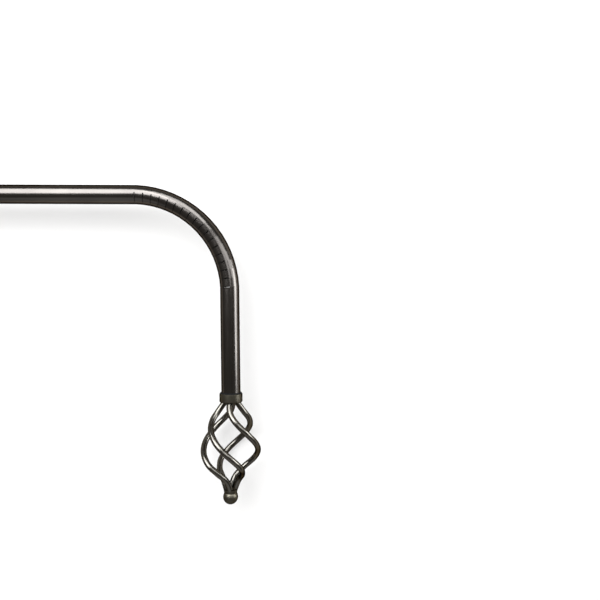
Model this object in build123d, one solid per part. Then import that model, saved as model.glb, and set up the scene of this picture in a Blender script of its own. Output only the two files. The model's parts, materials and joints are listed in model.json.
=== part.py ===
from build123d import *
from math import cos, pi, radians, sin, tan
import os

# One end of a curtain rod for a bay window. A round steel tube is sawn most of the
# way through in a row of slots, so that it bends round the corner of the bay and
# leaves a straight arm, which ends in a twisted wire basket with a ball tip.
# The rod lies level. X runs along the main tube towards the bend, which turns
# towards -Y. The origin is on the tube's axis, where a wall bracket holds it.

# Tube, in mm
tube_diameter = 19.0
tube_wall = 1.0
bend_side_length = 120.0
open_side_length = 180.0
arm_length = 105.0
mouth_chamfer = 0.3

# Slotted bend, drawn closed. The saw leaves the spine along the outer skin.
slot_count = 18
slot_pitch = 9.2
full_bend = 89.1
spine_height = 8.5
closed_gap = 0.09
spine_split = 0.08

# Collar of the finial, a cup over the tube's end
collar_diameter = 22.7
collar_length = 9.35
collar_plate = 4.0
collar_recess = 0.5
collar_rim_bevel = 0.35
collar_foot_round = 1.2

# Plug and stud that hold the finial in the tube
plug_length = 24.0
plug_clearance = 0.1
plug_groove_depth = 0.8
plug_groove_width = 1.6
plug_groove_count = 2
stud_diameter = 6.0
stud_length = 26.0
stud_clearance = 0.05

# Basket of four wires, twisted between the collar and the tip
wire_count = 4
wire_diameter = 5.6
basket_length = 86.5
basket_radius = 27.6
collar_circle_radius = 6.2
collar_flare = 38.0
wire_gap = 0.2
twist_start = -19.0
twist = 199.0
wire_stations = 10
bend_share = 0.45

# Basket's outline: share of its length from the collar, share of its radius
basket_outline = [(0.11, 0.47), (0.23, 0.74), (0.36, 0.92), (0.5, 1.0), (0.64, 0.93), (0.78, 0.64), (0.9, 0.29)]

# Ball tip
ball_diameter = 14.8
neck_diameter = 12.6
ball_centre_height = 7.5

# Sizes that follow
tube_radius = tube_diameter / 2
bore_radius = tube_radius - tube_wall
bend_per_slot = full_bend / slot_count
half_bend = radians(bend_per_slot / 2)
slot_width = 2 * tube_diameter * tan(half_bend) + closed_gap
wire_radius = wire_diameter / 2
bundle_radius = (wire_diameter + wire_gap) / (2 * sin(pi / wire_count))
neck_face_radius = bundle_radius + wire_radius
socket_depth = collar_length - collar_plate
over = 1.0


def ring_length(start, end):
    """Tube from start to end along X, with its outer skin on the X axis."""
    section = Pos(-tube_radius, 0) * (Circle(tube_radius) - Circle(bore_radius))
    return extrude(Plane.YZ.offset(start) * section, end - start)


def half_slot():
    """Half of one saw cut, to the +X side of the hinge line at the outer skin."""
    web_edge = spine_split / 2
    web_foot = web_edge + spine_height * tan(half_bend)
    below = -tube_diameter - over
    outline = Polyline(
        (-over, over),
        (web_edge, over),
        (web_edge, 0),
        (web_foot, -spine_height),
        (slot_width / 2, -spine_height),
        (slot_width / 2, below),
        (-over, below),
        close=True,
    )
    return extrude(make_face(outline), tube_diameter, both=True)


def main_tube():
    """Straight main tube, from its open end to the first slot."""
    length = open_side_length + bend_side_length
    tube = ring_length(-length, 0)
    mouth = tube.edges().group_by(Axis.X)[0]
    tube = chamfer(mouth, mouth_chamfer)
    return tube - mirror(half_slot(), Plane.YZ)


def rib():
    """Stretch of tube between two slots, with its part of the spine."""
    left = half_slot()
    right = Pos(slot_pitch, 0, 0) * mirror(half_slot(), Plane.YZ)
    return ring_length(0, slot_pitch) - left - right


def end_tube():
    """Straight arm, from the last slot to the collar's plate."""
    return ring_length(0, arm_length + socket_depth) - half_slot()


def bar(radius, start, end):
    """Round bar on the arm's axis, from start to end along X."""
    return extrude(Plane.YZ.offset(start) * Circle(radius), end - start)


def collar():
    """Cup that the tube enters, with a tapped plate at its foot."""
    foot = arm_length + collar_length
    plate = arm_length + socket_depth
    cup = bar(collar_diameter / 2, arm_length, foot)
    cup = fillet(cup.edges().group_by(Axis.X)[-1], collar_foot_round)
    cup = chamfer(cup.edges().group_by(Axis.X)[0], collar_rim_bevel)
    cup -= bar(tube_radius + collar_recess, arm_length, plate)
    return cup - bar(stud_diameter / 2 + stud_clearance, plate, foot)


def plug():
    """Ribbed plug, pressed into the tube until it is flush with its end."""
    end = arm_length + socket_depth
    start = end - plug_length
    outside = bore_radius - plug_clearance
    body = bar(outside, start, end)
    body -= bar(stud_diameter / 2 + stud_clearance, start, end)
    spacing = plug_length / (plug_groove_count + 1)
    for number in range(plug_groove_count):
        middle = start + spacing * (number + 1)
        groove = bar(tube_radius, middle - plug_groove_width / 2, middle + plug_groove_width / 2)
        groove -= bar(outside - plug_groove_depth, middle - plug_groove_width, middle + plug_groove_width)
        body -= groove
    return body


def stud():
    """Stud through the plug and the collar's plate, flush with the plate."""
    foot = arm_length + collar_length
    return bar(stud_diameter / 2, foot - stud_length, foot)


def basket_profile():
    """Curve of a wire's axis before it is twisted, as distance along and distance out."""
    start = (0, collar_circle_radius)
    end = (basket_length, bundle_radius)
    belly = [(basket_length * along, basket_radius * out) for along, out in basket_outline]
    flare = (cos(radians(collar_flare)), sin(radians(collar_flare)))
    return Spline(start, *belly, end, tangents=[flare, (1, 0)])


def twisted(point, quarter):
    """Point of the profile, turned about the arm's axis by the twist reached there."""
    angle = radians(twist_start + twist * point.X / basket_length + quarter)
    along = arm_length + collar_length + point.X
    return Vector(along, point.Y * sin(angle), point.Y * cos(angle))


def bend_radius(before, corner, after):
    """Largest bend that fits between two corners of a wire's path."""
    arriving = corner - before
    leaving = after - corner
    run = min(arriving.length, leaving.length)
    return bend_share * run / tan(radians(arriving.get_angle(leaving)) / 2)


def basket_wire(number):
    """One twisted wire, cut flat where it meets the collar and the tip."""
    quarter = 360 / wire_count * number
    profile = basket_profile()
    stations = [profile @ (station / (wire_stations - 1)) for station in range(wire_stations)]
    before = profile @ 0 - (profile % 0) * wire_diameter
    after = profile @ 1 + (profile % 1) * wire_diameter
    points = [twisted(point, quarter) for point in [before, *stations, after]]
    radii = [bend_radius(*points[corner:corner + 3]) for corner in range(wire_stations)]
    path = FilletPolyline(*points, radius=radii)
    section = Plane(path @ 0, z_dir=path % 0) * Circle(wire_radius)
    start = arm_length + collar_length
    return sweep(section, path) & bar(basket_length, start, start + basket_length)


def ball_tip():
    """Turned ball with the short neck that the wires end on."""
    face = arm_length + collar_length + basket_length
    centre = face + ball_centre_height
    neck = revolve(
        make_face(
            Polyline(
                (face, 0),
                (face, neck_face_radius),
                (centre, neck_diameter / 2 - (neck_face_radius - neck_diameter / 2)),
                (centre, 0),
                close=True,
            )
        ),
        Axis.X,
    )
    return neck + Pos(centre, 0, 0) * Sphere(ball_diameter / 2)


def write(name, solid):
    """Write one sub-part under its own name."""
    solid.label = name
    export_step(solid, f"parts/{name}.step")


def main():
    """Place every sub-part on the rod and write it."""
    os.makedirs("parts", exist_ok=True)
    hinge = Location((bend_side_length, tube_radius, 0))
    write("main_tube", hinge * main_tube())
    one_rib = rib()
    for number in range(1, slot_count):
        hinge *= Location((0, 0, 0), (0, 0, -bend_per_slot))
        write(f"bend_rib_{number:02d}", hinge * one_rib)
        hinge *= Pos(slot_pitch, 0, 0)
    hinge *= Location((0, 0, 0), (0, 0, -bend_per_slot))
    write("end_tube", hinge * end_tube())
    axis = hinge * Pos(0, -tube_radius, 0)
    write("finial_collar", axis * collar())
    write("finial_plug", axis * plug())
    write("finial_stud", axis * stud())
    for number in range(wire_count):
        write(f"basket_wire_{number + 1}", axis * basket_wire(number))
    write("ball_tip", axis * ball_tip())


if __name__ == "__main__":
    main()
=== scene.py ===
import json
import logging
from dataclasses import dataclass, field
from enum import Enum
from math import acos, atan2, cos, pi, radians, sin, tan

import bpy
from mathutils import Matrix, Quaternion, Vector

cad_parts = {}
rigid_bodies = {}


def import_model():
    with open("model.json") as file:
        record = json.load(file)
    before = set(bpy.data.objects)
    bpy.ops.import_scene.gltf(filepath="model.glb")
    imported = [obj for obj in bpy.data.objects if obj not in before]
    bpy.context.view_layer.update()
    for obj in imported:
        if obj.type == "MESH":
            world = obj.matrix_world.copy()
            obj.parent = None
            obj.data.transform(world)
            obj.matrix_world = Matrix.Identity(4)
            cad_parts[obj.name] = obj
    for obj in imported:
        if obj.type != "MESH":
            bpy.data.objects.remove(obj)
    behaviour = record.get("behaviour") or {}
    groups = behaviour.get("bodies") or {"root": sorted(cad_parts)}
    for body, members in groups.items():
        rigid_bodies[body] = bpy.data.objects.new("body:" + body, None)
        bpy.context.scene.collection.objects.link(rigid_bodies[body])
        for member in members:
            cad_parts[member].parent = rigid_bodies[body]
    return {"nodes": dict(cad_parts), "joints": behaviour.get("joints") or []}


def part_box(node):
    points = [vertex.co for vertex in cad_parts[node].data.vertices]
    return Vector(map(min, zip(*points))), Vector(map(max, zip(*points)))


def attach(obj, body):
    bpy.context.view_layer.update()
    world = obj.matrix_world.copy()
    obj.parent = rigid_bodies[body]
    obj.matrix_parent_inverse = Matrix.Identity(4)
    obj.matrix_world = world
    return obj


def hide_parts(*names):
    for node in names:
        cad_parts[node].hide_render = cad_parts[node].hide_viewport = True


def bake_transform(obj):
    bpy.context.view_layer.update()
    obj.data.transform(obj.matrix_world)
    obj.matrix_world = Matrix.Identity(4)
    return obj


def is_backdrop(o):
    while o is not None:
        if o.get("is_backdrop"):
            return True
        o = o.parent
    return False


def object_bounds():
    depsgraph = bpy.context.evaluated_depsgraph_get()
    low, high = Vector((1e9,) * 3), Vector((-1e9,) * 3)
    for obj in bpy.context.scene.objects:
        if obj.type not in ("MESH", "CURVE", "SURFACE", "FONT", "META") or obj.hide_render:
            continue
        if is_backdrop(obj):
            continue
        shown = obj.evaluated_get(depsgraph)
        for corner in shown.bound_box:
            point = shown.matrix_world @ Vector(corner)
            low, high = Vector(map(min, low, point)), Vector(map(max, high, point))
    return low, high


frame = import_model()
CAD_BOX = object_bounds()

LOG = logging.getLogger("curtain_rod")
MM = 0.001
UV_MAP = "surface"
# The brush marks run along the tube, so a quarter turn spreads the shine round it.
ROUND_THE_TUBE = 0.25
# How far the fine grain adds to the clouds of a metal's tone, and where its two colours lie.
GRAIN_SHARE = 0.6
TONE_START = 0.55
TONE_END = 1.0
# Where nearly all values of the fine grain lie.
GRAIN_LOW = 0.3
GRAIN_HIGH = 0.7
# Material slots of the tube's pieces.
PLATED = 0
# The sawn faces and the bore take a nearly black finish: painted shade inside the slots and bore.
SAWN_PAINTED_SHADE = 1
# The numbers of the outer points and of the bore's points round one section of the tube.
Section = tuple[list[int], list[int]]


def hex_colour(code: str) -> tuple[float, float, float, float]:
    """Turn an sRGB hex colour into the linear colour that a shader takes.

    Args:
        code: Six hex digits, such as "8f8a85".

    Returns:
        Linear red, green and blue, with an alpha of 1.
    """
    values = [int(code[place:place + 2], 16) / 255 for place in (0, 2, 4)]
    linear = [v / 12.92 if v <= 0.04045 else ((v + 0.055) / 1.055) ** 2.4 for v in values]
    return (*linear, 1.0)


def add_node(tree: bpy.types.NodeTree, kind: str, settings: dict | None = None,
             links: dict | None = None, **values: object) -> bpy.types.Node:
    """Add a node to a tree, set it up and link what feeds it.

    Args:
        tree: The shader or geometry tree that takes the node.
        kind: The node's type, such as "ShaderNodeTexNoise".
        settings: Attributes of the node itself.
        links: Input name or number to the output socket that feeds it.
        values: Input name, with underscores for spaces, to its value.

    Returns:
        The new node.
    """
    node = tree.nodes.new(kind)
    for name, value in (settings or {}).items():
        setattr(node, name, value)
    for name, value in values.items():
        node.inputs[name.replace("_", " ")].default_value = value
    for name, socket in (links or {}).items():
        tree.links.new(socket, node.inputs[name])
    return node


class Lay(Enum):
    """How a finish is laid on: along the tube, or all over a piece."""

    LENGTHWISE = "along the tube"
    ALL_OVER = "all over"


@dataclass(frozen=True)
class MetalFinish:
    """A plated or bare metal surface, with its brush marks or fine grain.

    The streaks of a LENGTHWISE finish follow the piece's own UV map, which is in metres along
    and round the tube. An ALL_OVER finish reads Object coordinates. The rim colour damps the
    reflection where the surface turns away, as the dark lacquer over the plate does.
    """

    name: str
    colour: str
    worn: str
    rim: str
    roughness: float
    roughness_spread: float
    grain_width_mm: float
    grain_length_mm: float
    bump_mm: float
    cloud_mm: float
    anisotropic: float = 0.0
    lay: Lay = Lay.ALL_OVER

    def build(self) -> bpy.types.Material:
        """Build the material.

        Returns:
            The new material.
        """
        material = bpy.data.materials.new(self.name)
        material.use_nodes = True
        tree = material.node_tree
        shader = tree.nodes["Principled BSDF"]
        shader.inputs["Metallic"].default_value = 1.0
        shader.inputs["Anisotropic"].default_value = self.anisotropic
        shader.inputs["Specular Tint"].default_value = hex_colour(self.rim)
        place = add_node(tree, "ShaderNodeTexCoord")
        source = place.outputs["Object"]
        if self.lay is Lay.LENGTHWISE:
            source = place.outputs["UV"]
            brushed = add_node(tree, "ShaderNodeTangent",
                               {"direction_type": "UV_MAP", "uv_map": UV_MAP})
            shader.inputs["Anisotropic Rotation"].default_value = ROUND_THE_TUBE
            tree.links.new(brushed.outputs["Tangent"], shader.inputs["Tangent"])
        along = 1 / (self.grain_length_mm * MM)
        across = 1 / (self.grain_width_mm * MM)
        stretched = add_node(tree, "ShaderNodeMapping", links={"Vector": source},
                             Scale=(along, across, across))
        grain = add_node(tree, "ShaderNodeTexNoise", links={"Vector": stretched.outputs["Vector"]},
                         Scale=1.0, Detail=3.0, Roughness=0.6)
        clouds = add_node(tree, "ShaderNodeTexNoise", links={"Vector": place.outputs["Object"]},
                          Scale=1 / (self.cloud_mm * MM), Detail=2.0, Roughness=0.5)
        shade = add_node(tree, "ShaderNodeMath", {"operation": "MULTIPLY_ADD"},
                         {0: grain.outputs["Fac"], 2: clouds.outputs["Fac"]})
        shade.inputs[1].default_value = GRAIN_SHARE
        ramp = add_node(tree, "ShaderNodeValToRGB", links={"Fac": shade.outputs["Value"]})
        tones = ((TONE_START, self.colour), (TONE_END, self.worn))
        for stop, (position, tone) in zip(ramp.color_ramp.elements, tones):
            stop.position = position
            stop.color = hex_colour(tone)
        tree.links.new(ramp.outputs["Color"], shader.inputs["Base Color"])
        gloss = add_node(tree, "ShaderNodeMapRange", links={"Value": grain.outputs["Fac"]},
                         From_Min=GRAIN_LOW, From_Max=GRAIN_HIGH,
                         To_Min=self.roughness - self.roughness_spread,
                         To_Max=self.roughness + self.roughness_spread)
        tree.links.new(gloss.outputs["Result"], shader.inputs["Roughness"])
        bump = add_node(tree, "ShaderNodeBump", links={"Height": grain.outputs["Fac"]},
                        Strength=1.0, Distance=self.bump_mm * MM)
        tree.links.new(bump.outputs["Normal"], shader.inputs["Normal"])
        return material


@dataclass(frozen=True)
class DullFinish:
    """Moulded nylon, or black felt laid on as painted shadow: one colour, a fine grain and little
    shine.
    """

    name: str
    colour: str
    roughness: float
    shine: float
    grain_mm: float
    depth_share: float = 0.1
    relief: float = 0.4

    def build(self) -> bpy.types.Material:
        """Build the material.

        Returns:
            The new material.
        """
        material = bpy.data.materials.new(self.name)
        material.use_nodes = True
        tree = material.node_tree
        shader = tree.nodes["Principled BSDF"]
        shader.inputs["Base Color"].default_value = hex_colour(self.colour)
        shader.inputs["Roughness"].default_value = self.roughness
        shader.inputs["Specular IOR Level"].default_value = self.shine
        place = add_node(tree, "ShaderNodeTexCoord")
        grain = add_node(tree, "ShaderNodeTexNoise", links={"Vector": place.outputs["Object"]},
                         Scale=1 / (self.grain_mm * MM), Detail=2.0)
        bump = add_node(tree, "ShaderNodeBump", links={"Height": grain.outputs["Fac"]},
                        Strength=self.relief, Distance=self.grain_mm * MM * self.depth_share)
        tree.links.new(bump.outputs["Normal"], shader.inputs["Normal"])
        return material


@dataclass
class FinishSet:
    """The finishes of the rod, built once and shared by its pieces."""

    # Pewter plate over drawn and brushed steel: a dark warm grey with a soft bright band.
    tube: MetalFinish = MetalFinish(
        "brushed_pewter_plate", colour="433e39", worn="4b4640", rim="4b4845", roughness=0.2,
        roughness_spread=0.025, grain_width_mm=0.7, grain_length_mm=40.0, bump_mm=0.002,
        cloud_mm=30.0, anisotropic=0.35, lay=Lay.LENGTHWISE)
    # The same plate over bent wire: no brush marks, a faint orange peel.
    finial: MetalFinish = MetalFinish(
        "satin_pewter_plate", colour="4e4942", worn="575249", rim="4d4c47", roughness=0.2,
        roughness_spread=0.03, grain_width_mm=1.2, grain_length_mm=1.2, bump_mm=0.004,
        cloud_mm=9.0)
    # Turned and tumbled, so duller than the wire between them.
    turned: MetalFinish = MetalFinish(
        "tumbled_pewter_plate", colour="433e34", worn="4b463b", rim="4d4c47", roughness=0.38,
        roughness_spread=0.04, grain_width_mm=0.9, grain_length_mm=0.9, bump_mm=0.006,
        cloud_mm=6.0)
    # Sawn faces and the bore, which the plate hardly reaches: dull, and nearly black as painted
    # shade.
    sawn: MetalFinish = MetalFinish(
        "sawn_steel_painted_shade", colour="2b2826", worn="383431", rim="7a7672", roughness=0.5,
        roughness_spread=0.08, grain_width_mm=0.6, grain_length_mm=6.0, bump_mm=0.01,
        cloud_mm=12.0)
    # Zinc plate on the stud: pale grey with a slight bloom.
    zinc: MetalFinish = MetalFinish(
        "zinc_plate", colour="b4b5b4", worn="c8c9c6", rim="ffffff", roughness=0.35,
        roughness_spread=0.06, grain_width_mm=0.8, grain_length_mm=0.8, bump_mm=0.004,
        cloud_mm=6.0)
    # Nylon plug: black, with the fine grain of its mould.
    nylon: DullFinish = DullFinish(
        "moulded_black_nylon", colour="1d1d1f", roughness=0.5, shine=0.5, grain_mm=0.5)
    # Painted shadow: a black felt ring in the cup's mouth, without shine, so that the joint reads
    # as a dark line.
    painted_shadow_felt: DullFinish = DullFinish(
        "black_felt_painted_shadow", colour="151413", roughness=0.95, shine=0.02, grain_mm=0.25)
    built: dict[str, bpy.types.Material] = field(default_factory=dict)

    def get(self, finish: MetalFinish | DullFinish) -> bpy.types.Material:
        """Give the material of a finish, built on first use.

        Args:
            finish: One of the set's finishes.

        Returns:
            Its material.
        """
        if finish.name not in self.built:
            self.built[finish.name] = finish.build()
        return self.built[finish.name]


@dataclass
class MeshDraft:
    """Vertices, faces, UVs and materials of one piece while it is built.

    The girth is how far the UVs run round the piece before they meet.
    """

    points: list[Vector] = field(default_factory=list)
    faces: list[tuple[int, ...]] = field(default_factory=list)
    uvs: list[tuple[float, float]] = field(default_factory=list)
    slots: list[int] = field(default_factory=list)
    girth: float = 1.0

    def add_point(self, point: Vector, uv: tuple[float, float]) -> int:
        """Add a point.

        Args:
            point: Its place in the shared frame.
            uv: Its place along and round the piece, in metres.

        Returns:
            Its number.
        """
        self.points.append(point)
        self.uvs.append(uv)
        return len(self.points) - 1

    def add_face(self, corners: tuple[int, ...], slot: int = 0) -> None:
        """Add a face with its material slot."""
        self.faces.append(corners)
        self.slots.append(slot)

    def finish(self, name: str, materials: list[bpy.types.Material],
               sharp_degrees: float) -> bpy.types.Object:
        """Make the object, smooth except at its sharp edges.

        Args:
            name: The piece's name.
            materials: Its materials, in slot order.
            sharp_degrees: Edges that turn more than this stay sharp.

        Returns:
            The new object, linked to the scene.
        """
        mesh = bpy.data.meshes.new(name)
        mesh.from_pydata(self.points, [], self.faces)
        layer = mesh.uv_layers.new(name=UV_MAP)
        for polygon, slot in zip(mesh.polygons, self.slots):
            polygon.material_index = slot
            far = max(self.uvs[place][1] for place in polygon.vertices)
            for loop, place in zip(polygon.loop_indices, polygon.vertices):
                along, around = self.uvs[place]
                wraps = far - around > self.girth / 2
                layer.data[loop].uv = (along, around + self.girth * wraps)
        for material in materials:
            mesh.materials.append(material)
        mesh.shade_smooth()
        mesh.set_sharp_from_angle(angle=radians(sharp_degrees))
        piece = bpy.data.objects.new(name, mesh)
        bpy.context.scene.collection.objects.link(piece)
        return piece


@dataclass
class Hinge:
    """One slot of the bend: the line on the outer skin that the spine flexes about."""

    before: str
    after: str
    pivot: Vector
    heading: float
    turn: float
    run: float

    def place(self, along: float, depth: float, height: float, share: float) -> Vector:
        """Put a point of the tube's wall in the frame, with the bend at rest.

        Args:
            along: Distance past the hinge line, along the tube.
            depth: Distance in from the outer skin.
            height: Distance above the rod's level.
            share: How much of the slot's turn the point has taken, from 0 to 1.

        Returns:
            The point in the shared frame.
        """
        angle = self.heading + self.turn * share
        x = self.pivot.x + along * cos(angle) + depth * sin(angle)
        y = self.pivot.y + along * sin(angle) - depth * cos(angle)
        return Vector((x, y, height))


@dataclass
class SlottedTube:
    """The main tube, its slotted bend and the arm beyond it."""

    wall: float = 1.0 * MM
    spine_height: float = 8.5 * MM
    closed_gap: float = 0.09 * MM
    edge_bevel: float = 0.14 * MM
    mouth_bevel: float = 0.3 * MM
    columns: int = 48
    flex_rows: int = 4
    flex_half_width: float = 0.03 * MM
    link_sharp_degrees: float = 15.0
    length_sharp_degrees: float = 30.0
    hinges: list[Hinge] = field(default_factory=list)

    def __post_init__(self) -> None:
        """Work out the hinges and sizes from the frame."""
        low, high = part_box("main_tube")
        self.radius = (high.z - low.z) / 2
        self.mouth_x = low.x
        self.arm_end_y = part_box("end_tube")[0].y
        places = [Vector(joint["pos_m"]) for joint in frame["joints"]]
        self.pitch = (places[1] - places[0]).length
        heading = 0.0
        for number, joint in enumerate(frame["joints"]):
            turn = -radians(joint["range_deg"][1])
            run = places[0].x + number * self.pitch
            self.hinges.append(
                Hinge(joint["parent"], joint["child"], places[number], heading, turn, run))
            heading += turn
        half_turn = abs(self.hinges[0].turn) / 2
        self.half_slot = 2 * self.radius * tan(half_turn) + self.closed_gap / 2

    def around(self, radius: float) -> list[float]:
        """Angles round the section, from the outer skin, with the slot's edges among them.

        Args:
            radius: The outer radius or the bore's.

        Returns:
            Angles in radians, starting and ending at the slot's first edge.
        """
        edge = acos((self.radius - self.spine_height) / radius)
        spine = [-edge + 2 * edge * step / self.columns for step in range(self.columns)]
        ring = [edge + (2 * pi - 2 * edge) * step / self.columns for step in range(self.columns)]
        return spine + ring

    def add_row(self, draft: MeshDraft, hinge: Hinge, along: float, share: float,
                inset: float, spine_inset: float = 0.0) -> Section:
        """Add one section of the wall.

        Args:
            draft: The mesh that takes the points.
            hinge: The slot that the section belongs to.
            along: Distance past the hinge line.
            share: How much of the slot's turn it has taken.
            inset: How far its sawn part is bevelled into the wall.
            spine_inset: The same for its spine.

        Returns:
            The numbers of the outer points and of the bore's points.
        """
        rows = []
        for radius, side in ((self.radius, 1), (self.radius - self.wall, -1)):
            row = []
            for place, angle in enumerate(self.around(radius)):
                sawn = place > self.columns or place == 0
                reach = radius - side * (inset if sawn and place else spine_inset)
                depth = self.radius - reach * cos(angle)
                point = hinge.place(along, depth, reach * sin(angle), share)
                row.append(draft.add_point(point, (hinge.run + along, angle * self.radius)))
            rows.append(row)
        return rows[0], rows[1]

    def add_band(self, draft: MeshDraft, first: Section, second: Section, sawn: bool,
                 burred: bool = False) -> None:
        """Join two sections with wall, leaving the sawn part out where the slot is.

        Args:
            draft: The mesh that takes the faces.
            first: Outer and bore points of the nearer section.
            second: Outer and bore points of the further section.
            sawn: True inside the slot.
            burred: True on the slot's filed edges, where the sawn part is bare.
        """
        (near_skin, near_bore), (far_skin, far_bore) = first, second
        count = len(near_skin)
        for place in range(self.columns if sawn else count):
            after = (place + 1) % count
            skin = (near_skin[place], far_skin[place], far_skin[after], near_skin[after])
            bore = (near_bore[place], near_bore[after], far_bore[after], far_bore[place])
            draft.add_face(skin, SAWN_PAINTED_SHADE if burred and place >= self.columns else PLATED)
            draft.add_face(bore, SAWN_PAINTED_SHADE)
        if sawn:
            for place, turned in ((0, False), (self.columns, True)):
                floor = (near_skin[place], near_bore[place], far_bore[place], far_skin[place])
                draft.add_face(tuple(reversed(floor)) if turned else floor, SAWN_PAINTED_SHADE)

    def add_end(self, draft: MeshDraft, row: Section, facing_back: bool, places: range) -> None:
        """Close the wall's end face over some of its columns.

        Args:
            draft: The mesh that takes the faces.
            row: Outer and bore points of the section.
            facing_back: True where the face looks back along the tube.
            places: The columns that it covers.
        """
        count = len(row[0])
        for place in places:
            after = (place + 1) % count
            corners = (row[0][place], row[0][after], row[1][after], row[1][place])
            draft.add_face(corners if facing_back else tuple(reversed(corners)), SAWN_PAINTED_SHADE)

    def link(self, number: int, finishes: FinishSet) -> bpy.types.Object:
        """Build the stretch of tube about one slot, from mid rib to mid rib.

        Args:
            number: The slot's number, from 0.
            finishes: The rod's finishes.

        Returns:
            The piece, whose wall turns across the slot.
        """
        hinge = self.hinges[number]
        draft = MeshDraft(girth=2 * pi * self.radius)
        half, slot = self.pitch / 2, self.half_slot
        ends = [(-half, 0.0, 0.0), (-slot - self.edge_bevel, 0.0, 0.0),
                (-slot, 0.0, self.edge_bevel)]
        flex = [-slot + 2 * slot * step / self.flex_rows for step in range(1, self.flex_rows)]
        shares = [(along + slot) / (2 * slot) for along in flex]
        middle = [(along, share, 0.0) for along, share in zip(flex, shares)]
        mirrored = [(-along, 1.0, inset) for along, _, inset in reversed(ends)]
        sections = [self.add_row(draft, hinge, *section) for section in ends + middle + mirrored]
        first_cut, last_cut = len(ends) - 1, len(ends) + len(middle)
        for place in range(len(sections) - 1):
            sawn = first_cut <= place < last_cut
            filed = place in (first_cut - 1, last_cut)
            self.add_band(draft, sections[place], sections[place + 1], sawn, filed)
        everywhere = range(2 * self.columns)
        cut = range(self.columns, 2 * self.columns)
        self.add_end(draft, sections[0], True, everywhere)
        self.add_end(draft, sections[first_cut], False, cut)
        self.add_end(draft, sections[last_cut], True, cut)
        self.add_end(draft, sections[-1], False, everywhere)
        piece = draft.finish(f"bend_link_{number + 1:02d}", self.materials(finishes),
                             self.link_sharp_degrees)
        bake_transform(piece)
        if number + 1 < len(self.hinges):
            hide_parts(hinge.after)
        return piece

    def materials(self, finishes: FinishSet) -> list[bpy.types.Material]:
        """Give the tube's two materials, outside first."""
        return [finishes.get(finishes.tube), finishes.get(finishes.sawn)]

    def straight(self, name: str, hinge: Hinge, places: list[tuple[float, float]], share: float,
                 finishes: FinishSet) -> bpy.types.Object:
        """Build a plain length of tube.

        Args:
            name: The piece's name.
            hinge: The slot that it is measured from.
            places: Distance past the hinge line and inset of each section.
            share: 0 before the slot and 1 after it.
            finishes: The rod's finishes.

        Returns:
            The new piece.
        """
        draft = MeshDraft(girth=2 * pi * self.radius)
        sections = [self.add_row(draft, hinge, along, share, inset, inset)
                    for along, inset in places]
        for first, second in zip(sections, sections[1:]):
            self.add_band(draft, first, second, False)
        everywhere = range(2 * self.columns)
        self.add_end(draft, sections[0], True, everywhere)
        self.add_end(draft, sections[-1], False, everywhere)
        piece = draft.finish(name, self.materials(finishes), self.length_sharp_degrees)
        return piece

    def build(self, finishes: FinishSet) -> list[bpy.types.Object]:
        """Build the tube, and set its main length and its arm on their bodies.

        Args:
            finishes: The rod's finishes.

        Returns:
            Its pieces.
        """
        first, last = self.hinges[0], self.hinges[-1]
        mouth = self.mouth_x - first.pivot.x
        places = [(mouth, self.mouth_bevel), (mouth + self.mouth_bevel, 0.0),
                  (-self.pitch / 2, 0.0)]
        main = self.straight("main_length", first, places, 0.0, finishes)
        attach(main, first.before)
        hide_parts("main_tube")
        length = last.pivot.y - self.arm_end_y
        places = [(self.pitch / 2, 0.0), (length, 0.0)]
        arm = self.straight("arm_length", last, places, 1.0, finishes)
        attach(arm, last.after)
        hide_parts("end_tube")
        links = [self.link(number, finishes) for number in range(len(self.hinges))]
        return [main, *links, arm]


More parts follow.
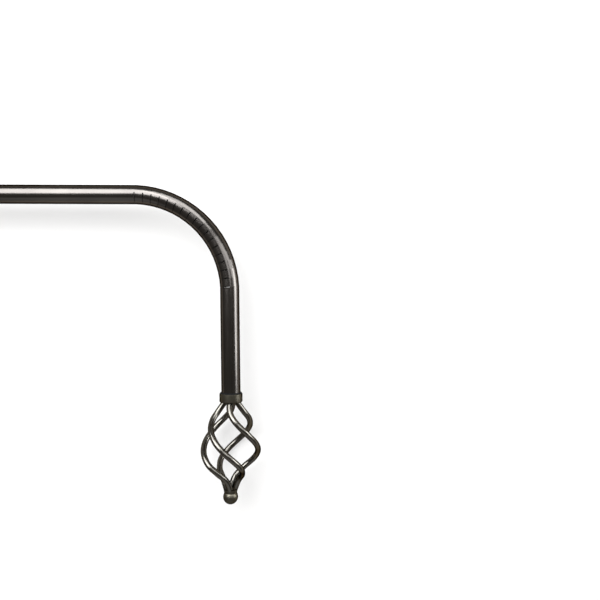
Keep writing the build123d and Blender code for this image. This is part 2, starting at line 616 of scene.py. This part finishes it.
@dataclass
class BasketFinial:
    """Collar, twisted wire basket and ball tip, on the arm's end."""

    body: str = "end_arm"
    recess: float = 0.5 * MM
    rim_bevel: float = 0.35 * MM
    foot_round: float = 1.2 * MM
    plate: float = 4.0 * MM
    lip: float = 1.1 * MM
    lip_wall: float = 0.8 * MM
    stud_hole: float = 3.05 * MM
    tube_radius: float = 9.5 * MM
    wires: int = 4
    wire_diameter: float = 5.9 * MM
    belly: float = 27.1 * MM
    collar_circle: float = 6.2 * MM
    wire_gap: float = -0.1 * MM
    twist_start: float = -19.0
    twist: float = 199.0
    outline: tuple = ((0.11, 0.47), (0.23, 0.74), (0.36, 0.92), (0.5, 1.0), (0.64, 0.93),
                      (0.78, 0.64), (0.9, 0.29))
    rooted: float = 0.012
    late_share: float = 0.16
    late_twist: float = 13.0
    neck_radius: float = 6.3 * MM
    turned_steps: int = 96
    foot_steps: int = 6
    ball_steps: int = 40
    path_points: int = 170
    wire_sides: int = 32
    on_axis: float = 1e-7
    sharp_degrees: float = 35.0

    def __post_init__(self) -> None:
        """Read the finial's places from the frame."""
        low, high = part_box("finial_collar")
        self.collar_radius = (high.x - low.x) / 2
        self.axis = Vector(((low.x + high.x) / 2, 0, (low.z + high.z) / 2))
        self.collar_top, self.foot = high.y, low.y
        tip_low, tip_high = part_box("ball_tip")
        self.tip_face = tip_high.y
        self.ball_radius = (tip_high.x - tip_low.x) / 2
        self.ball_centre = tip_low.y + self.ball_radius
        self.bundle = (self.wire_diameter + self.wire_gap) / (2 * sin(pi / self.wires))

    def turn(self, name: str, profile: list[tuple[float, float]], closed: bool,
             material: bpy.types.Material) -> bpy.types.Object:
        """Turn a profile about the arm's axis.

        Args:
            name: The piece's name.
            profile: Place down the arm and radius of each point, in metres.
            closed: True where the profile is a loop, False where it ends on the axis twice.
            material: The piece's material.

        Returns:
            The new piece, riding on the arm.
        """
        draft = MeshDraft()
        rings = []
        angles = [2 * pi * step / self.turned_steps for step in range(self.turned_steps)]
        for y, radius in profile:
            if radius < self.on_axis:
                rings.append([draft.add_point(Vector((self.axis.x, y, self.axis.z)), (y, 0))])
                continue
            rings.append([
                draft.add_point(
                    Vector((self.axis.x + radius * cos(a), y, self.axis.z + radius * sin(a))),
                    (y, a * radius))
                for a in angles])
        pairs = list(zip(rings, rings[1:])) + ([(rings[-1], rings[0])] if closed else [])
        for first, second in pairs:
            for step in range(self.turned_steps):
                after = (step + 1) % self.turned_steps
                corners = [first[step % len(first)], first[after % len(first)],
                           second[after % len(second)], second[step % len(second)]]
                draft.add_face(tuple(dict.fromkeys(corners)))
        piece = draft.finish(name, [material], self.sharp_degrees)
        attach(piece, self.body)
        return piece

    def collar(self, finishes: FinishSet) -> bpy.types.Object:
        """Build the cup that the tube enters.

        Args:
            finishes: The rod's finishes.

        Returns:
            The cup.
        """
        bore = self.tube_radius + self.recess
        mouth = self.collar_top - self.lip
        profile = [(self.foot + self.plate, self.stud_hole), (self.foot + self.plate, bore),
                   (mouth, bore), (mouth, self.collar_radius - self.rim_bevel),
                   (mouth - self.rim_bevel, self.collar_radius)]
        for step in range(self.foot_steps + 1):
            swing = pi / 2 * step / self.foot_steps
            profile.append((self.foot + self.foot_round * (1 - sin(swing)),
                            self.collar_radius - self.foot_round * (1 - cos(swing))))
        profile.append((self.foot, self.stud_hole))
        piece = self.turn("collar_cup", profile, True, finishes.get(finishes.turned))
        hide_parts("finial_collar")
        return piece

    def mouth_shadow_ring(self, finishes: FinishSet) -> bpy.types.Object:
        """Build the felt ring that centres the tube, black as painted shadow of the gap, showing
        as the cup's dark mouth.

        Args:
            finishes: The rod's finishes.

        Returns:
            The ring.
        """
        inside, outside = self.tube_radius, self.tube_radius + self.recess
        mouth = self.collar_top - self.lip
        flange = outside + self.lip_wall
        profile = [(self.foot + self.plate, inside), (self.collar_top, inside),
                   (self.collar_top, flange - self.rim_bevel),
                   (self.collar_top - self.rim_bevel, flange),
                   (mouth, flange), (mouth, outside), (self.foot + self.plate, outside)]
        piece = self.turn("mouth_shadow_ring", profile, True, finishes.get(finishes.painted_shadow_felt))
        return piece

    def tip(self, finishes: FinishSet) -> bpy.types.Object:
        """Build the turned ball and its neck.

        Args:
            finishes: The rod's finishes.

        Returns:
            The ball and neck as one piece.
        """
        neck_face = self.bundle + self.wire_diameter / 2
        meet = (1 - (self.neck_radius / self.ball_radius) ** 2) ** 0.5 * self.ball_radius
        angle = atan2(self.neck_radius, meet)
        profile = [(self.tip_face, 0.0), (self.tip_face, neck_face)]
        for step in range(self.ball_steps + 1):
            swing = angle + (pi - angle) * step / self.ball_steps
            profile.append((self.ball_centre + self.ball_radius * cos(swing),
                            self.ball_radius * abs(sin(swing))))
        profile[-1] = (self.ball_centre - self.ball_radius, 0.0)
        piece = self.turn("ball_and_neck", profile, False, finishes.get(finishes.turned))
        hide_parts("ball_tip")
        return piece

    def wire_tree(self, material: bpy.types.Material) -> bpy.types.NodeTree:
        """Build the node tree that twists one wire and repeats it round the arm's axis.

        Args:
            material: The wires' material.

        Returns:
            The tree, with the basket's sizes as named inputs.
        """
        tree = bpy.data.node_groups.new("twisted_basket", "GeometryNodeTree")
        face = tree.interface
        face.new_socket("Geometry", in_out="INPUT", socket_type="NodeSocketGeometry")
        for name in ("Length", "Belly", "Wire Radius", "Twist Start", "Twist", "Rooted",
                     "Late Share", "Late Twist"):
            face.new_socket(name, in_out="INPUT", socket_type="NodeSocketFloat")
        face.new_socket("Wires", in_out="INPUT", socket_type="NodeSocketInt")
        face.new_socket("Foot", in_out="INPUT", socket_type="NodeSocketVector")
        face.new_socket("Material", in_out="INPUT", socket_type="NodeSocketMaterial")
        face.new_socket("Geometry", in_out="OUTPUT", socket_type="NodeSocketGeometry")
        given = add_node(tree, "NodeGroupInput").outputs

        def calc(operation: str, *inputs: object) -> bpy.types.NodeSocket:
            """Add one step of arithmetic.

            Args:
                operation: The node's operation.
                inputs: A number or a socket for each input, in order.

            Returns:
                The step's result.
            """
            node = add_node(tree, "ShaderNodeMath", {"operation": operation})
            for place, value in enumerate(inputs):
                if isinstance(value, (int, float)):
                    node.inputs[place].default_value = value
                else:
                    tree.links.new(value, node.inputs[place])
            return node.outputs["Value"]

        line = add_node(tree, "GeometryNodeCurvePrimitiveLine")
        fine = add_node(tree, "GeometryNodeResampleCurve", links={"Curve": line.outputs["Curve"]},
                        Count=self.path_points)
        factor = add_node(tree, "GeometryNodeSplineParameter").outputs["Factor"]
        span = calc("MULTIPLY_ADD", given["Rooted"], 2.0, 1.0)
        share = calc("SUBTRACT", calc("MULTIPLY", factor, span), given["Rooted"])
        swell = add_node(tree, "ShaderNodeFloatCurve", links={"Value": share})
        curve = swell.mapping.curves[0]
        ends = [(0.0, self.collar_circle / self.belly), (1.0, self.bundle / self.belly)]
        for point, place in zip(curve.points, ends):
            point.location = place
        for place in self.outline:
            curve.points.new(*place)
        swell.mapping.update()
        radius = calc("MULTIPLY", swell.outputs["Value"], given["Belly"])
        steady = calc("MULTIPLY_ADD", share, given["Twist"], given["Twist Start"])
        left = calc("SUBTRACT", 1.0, calc("DIVIDE", share, given["Late Share"]))
        early = calc("MAXIMUM", left, 0.0)
        angle = calc("MULTIPLY_ADD", calc("POWER", early, 2.0), given["Late Twist"], steady)
        point = add_node(tree, "ShaderNodeCombineXYZ", links={
            "X": calc("MULTIPLY", calc("SINE", angle), radius),
            "Y": calc("MULTIPLY", calc("MULTIPLY", share, given["Length"]), -1.0),
            "Z": calc("MULTIPLY", calc("COSINE", angle), radius)})
        path = add_node(tree, "GeometryNodeSetPosition", links={
            "Geometry": fine.outputs["Curve"], "Position": point.outputs["Vector"]})
        ring = add_node(tree, "GeometryNodeCurvePrimitiveCircle", links={
            "Radius": given["Wire Radius"]}, Resolution=self.wire_sides)
        wire = add_node(tree, "GeometryNodeCurveToMesh", links={
            "Curve": path.outputs["Geometry"], "Profile Curve": ring.outputs["Curve"]})
        wire.inputs["Fill Caps"].default_value = True
        seats = add_node(tree, "GeometryNodeMeshLine", links={"Count": given["Wires"]})
        seats.inputs["Offset"].default_value = (0, 0, 0)
        index = add_node(tree, "GeometryNodeInputIndex").outputs["Index"]
        quarter = calc("MULTIPLY", index, calc("DIVIDE", 2 * pi, given["Wires"]))
        spin = add_node(tree, "ShaderNodeCombineXYZ", links={"Y": quarter})
        around = add_node(tree, "GeometryNodeInstanceOnPoints", links={
            "Points": seats.outputs["Mesh"], "Instance": wire.outputs["Mesh"],
            "Rotation": spin.outputs["Vector"]})
        placed = add_node(tree, "GeometryNodeTransform", links={
            "Geometry": around.outputs["Instances"], "Translation": given["Foot"]})
        real = add_node(tree, "GeometryNodeRealizeInstances", links={
            "Geometry": placed.outputs["Geometry"]})
        smooth = add_node(tree, "GeometryNodeSetShadeSmooth", links={
            "Geometry": real.outputs["Geometry"]})
        coated = add_node(tree, "GeometryNodeSetMaterial", links={
            "Geometry": smooth.outputs["Geometry"], "Material": given["Material"]})
        add_node(tree, "NodeGroupOutput", links={"Geometry": coated.outputs["Geometry"]})
        return tree

    def basket(self, finishes: FinishSet) -> bpy.types.Object:
        """Build the four twisted wires.

        Args:
            finishes: The rod's finishes.

        Returns:
            The basket as one plain mesh, riding on the arm.
        """
        material = finishes.get(finishes.finial)
        carrier = bpy.data.objects.new("basket_carrier", bpy.data.meshes.new("basket_carrier"))
        bpy.context.scene.collection.objects.link(carrier)
        modifier = carrier.modifiers.new("basket", "NODES")
        modifier.node_group = self.wire_tree(material)
        sizes = {
            "Length": self.foot - self.tip_face, "Belly": self.belly, "Rooted": self.rooted,
            "Wire Radius": self.wire_diameter / 2, "Twist Start": radians(self.twist_start),
            "Twist": radians(self.twist), "Wires": self.wires,
            "Late Share": self.late_share, "Late Twist": radians(self.late_twist),
            "Foot": (self.axis.x, self.foot, self.axis.z), "Material": material}
        for socket in modifier.node_group.interface.items_tree:
            if socket.in_out == "INPUT" and socket.name in sizes:
                modifier[socket.identifier] = sizes[socket.name]
        graph = bpy.context.evaluated_depsgraph_get()
        mesh = bpy.data.meshes.new_from_object(carrier.evaluated_get(graph), depsgraph=graph)
        bpy.data.objects.remove(carrier)
        piece = bpy.data.objects.new("twisted_wires", mesh)
        bpy.context.scene.collection.objects.link(piece)
        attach(piece, self.body)
        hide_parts(*[f"basket_wire_{number + 1}" for number in range(self.wires)])
        return piece

    def build(self, finishes: FinishSet) -> list[bpy.types.Object]:
        """Build the finial.

        Args:
            finishes: The rod's finishes.

        Returns:
            Its pieces.
        """
        return [self.collar(finishes), self.mouth_shadow_ring(finishes), self.basket(finishes),
                self.tip(finishes)]


@dataclass
class HiddenFittings:
    """The plug and the stud inside the tube, which keep their own solids."""

    def dress(self, finishes: FinishSet) -> None:
        """Give both their materials.

        Args:
            finishes: The rod's finishes.
        """
        for node, finish in (("finial_plug", finishes.nylon), ("finial_stud", finishes.zinc)):
            mesh = frame["nodes"][node].data
            mesh.materials.clear()
            mesh.materials.append(finishes.get(finish))


@dataclass(frozen=True)
class SoftBox:
    """An oval softbox, aimed at the rod.

    Its azimuth, elevation, breadth and height are in degrees, as the rod sees them, and its
    distance is in metres. Its lean, in degrees, tips its top towards a larger azimuth.
    """

    name: str
    azimuth: float
    elevation: float
    breadth: float
    height: float
    radiance: float
    distance: float = 1.6
    lean: float = 0.0
    daylight: str = "e8f1ff"

    def build(self, target: Vector) -> None:
        """Make the lamp.

        Args:
            target: The point that it faces.
        """
        data = bpy.data.lights.new(self.name, "AREA")
        data.shape = "ELLIPSE"
        data.size = 2 * self.distance * tan(radians(self.breadth / 2))
        data.size_y = 2 * self.distance * tan(radians(self.height / 2))
        data.energy = self.radiance * pi * (pi / 4 * data.size * data.size_y)
        data.color = hex_colour(self.daylight)[:3]
        lamp = bpy.data.objects.new(self.name, data)
        turn, lift = radians(self.azimuth), radians(self.elevation)
        away = Vector((cos(turn) * cos(lift), sin(turn) * cos(lift), sin(lift)))
        lamp.location = target + away * self.distance
        lamp.rotation_mode = "QUATERNION"
        lean = Quaternion((0, 0, 1), -radians(self.lean))
        lamp.rotation_quaternion = away.to_track_quat("Z", "Y") @ lean
        bpy.context.scene.collection.objects.link(lamp)


@dataclass
class Studio:
    """Pale floor, soft lamps and the camera above the level rod.

    The scale is in metres for each pixel of the square frame, at the rod's level, and the roll
    is in degrees. The sky gives a height, as a share of the way up, and the brightness there.
    """

    scale: float = 0.992 * MM
    frame_pixels: int = 600
    first_slot_pixel: tuple[float, float] = (137.0, 194.66)
    roll: float = 0.2
    lens: float = 36.0
    floor_gap: float = 0.5 * MM
    floor_reach: float = 9.0
    floor_colour: str = "7f7a73"
    lift: float = 0.56
    sky: tuple[tuple[float, float], ...] = ((0.0, 0.5), (0.14, 0.22), (0.6, 0.26))
    boxes: tuple[SoftBox, ...] = (
        SoftBox("window_light", azimuth=125, elevation=50, breadth=48, height=48, radiance=17.5),
        SoftBox("top_light", azimuth=34, elevation=60, breadth=20, height=20, radiance=6.0),
        SoftBox("corner_light", azimuth=75, elevation=41, breadth=34, height=35, radiance=12.0,
                lean=10),
        SoftBox("strip_light", azimuth=25, elevation=32, breadth=20, height=46, radiance=7.5,
                lean=38),
        SoftBox("side_light", azimuth=7, elevation=9, breadth=32, height=24, radiance=16.0,
                lean=30),
        SoftBox("fill_light", azimuth=-90, elevation=25, breadth=70, height=50, radiance=0.7,
                distance=1.8),
    )

    def floor(self) -> None:
        """Build the floor, just under the basket."""
        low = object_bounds()[0].z - self.floor_gap
        mesh = bpy.data.meshes.new("floor")
        reach = self.floor_reach
        corners = [(-reach, -reach, low), (reach, -reach, low), (reach, reach, low),
                   (-reach, reach, low)]
        mesh.from_pydata(corners, [], [(0, 1, 2, 3)])
        floor = bpy.data.objects.new("floor", mesh)
        bpy.context.scene.collection.objects.link(floor)
        material = bpy.data.materials.new("matt_white_paper")
        material.use_nodes = True
        tree = material.node_tree
        tree.nodes.clear()
        paper = add_node(tree, "ShaderNodeBsdfDiffuse", Color=hex_colour(self.floor_colour))
        rays = add_node(tree, "ShaderNodeLightPath")
        mirrored = add_node(tree, "ShaderNodeMath", {"operation": "MAXIMUM"},
                            {0: rays.outputs["Is Glossy Ray"],
                             1: rays.outputs["Is Transmission Ray"]})
        seen = add_node(tree, "ShaderNodeMath", {"operation": "MAXIMUM"},
                        {0: rays.outputs["Is Camera Ray"], 1: mirrored.outputs["Value"]})
        strength = add_node(tree, "ShaderNodeMath", {"operation": "MULTIPLY"},
                            {0: seen.outputs["Value"]})
        strength.inputs[1].default_value = self.lift
        glow = add_node(tree, "ShaderNodeEmission", links={"Strength": strength.outputs["Value"]})
        both = add_node(tree, "ShaderNodeAddShader",
                        links={0: paper.outputs["BSDF"], 1: glow.outputs["Emission"]})
        add_node(tree, "ShaderNodeOutputMaterial", links={"Surface": both.outputs["Shader"]})
        mesh.materials.append(material)
        floor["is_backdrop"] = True

    def world(self) -> None:
        """Build the surroundings, pale just above the floor and grey overhead."""
        world = bpy.data.worlds.new("studio")
        bpy.context.scene.world = world
        world.use_nodes = True
        tree = world.node_tree
        place = add_node(tree, "ShaderNodeTexCoord")
        split = add_node(tree, "ShaderNodeSeparateXYZ",
                         links={"Vector": place.outputs["Generated"]})
        ramp = add_node(tree, "ShaderNodeValToRGB", links={"Fac": split.outputs["Z"]})
        stops = ramp.color_ramp.elements
        stops.new(0.5)
        for stop, (height, level) in zip(stops, self.sky):
            stop.position = height
            stop.color = (level, level, level, 1)
        tree.links.new(ramp.outputs["Color"], tree.nodes["Background"].inputs["Color"])

    def camera(self) -> None:
        """Stand the camera above the rod, as far off as the photograph's frame is wide."""
        middle = self.frame_pixels / 2
        first_slot = Vector((frame["joints"][0]["pos_m"][0], 0, 0))
        turned = Matrix.Rotation(radians(self.roll), 3, "Z")
        across = (middle - self.first_slot_pixel[0]) * self.scale
        up = (self.first_slot_pixel[1] - middle) * self.scale
        data = bpy.data.cameras.new("camera")
        data.lens = self.lens
        camera = bpy.data.objects.new("camera", data)
        half_width = data.sensor_width / 2 / self.lens
        camera.location = first_slot + turned @ Vector((across, up, 0))
        camera.location.z = middle * self.scale / half_width
        camera.rotation_euler.z = radians(self.roll)
        bpy.context.scene.collection.objects.link(camera)
        bpy.context.scene.camera = camera

    def build(self) -> None:
        """Build the whole studio."""
        bpy.context.scene.view_settings.view_transform = "Standard"
        self.floor()
        self.world()
        low, high = CAD_BOX
        for box in self.boxes:
            box.build((low + high) / 2)
        self.camera()


def write_sizes() -> None:
    """Bring the scene's transforms up to date."""
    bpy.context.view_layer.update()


def main() -> None:
    """Build the rod and its studio."""
    logging.basicConfig(level=logging.INFO)
    finishes = FinishSet()
    pieces = SlottedTube().build(finishes) + BasketFinial().build(finishes)
    HiddenFittings().dress(finishes)
    for piece in pieces:
        LOG.info("%s has %d faces", piece.name, len(piece.data.polygons))
    Studio().build()
    write_sizes()


if __name__ == "__main__":
    main()
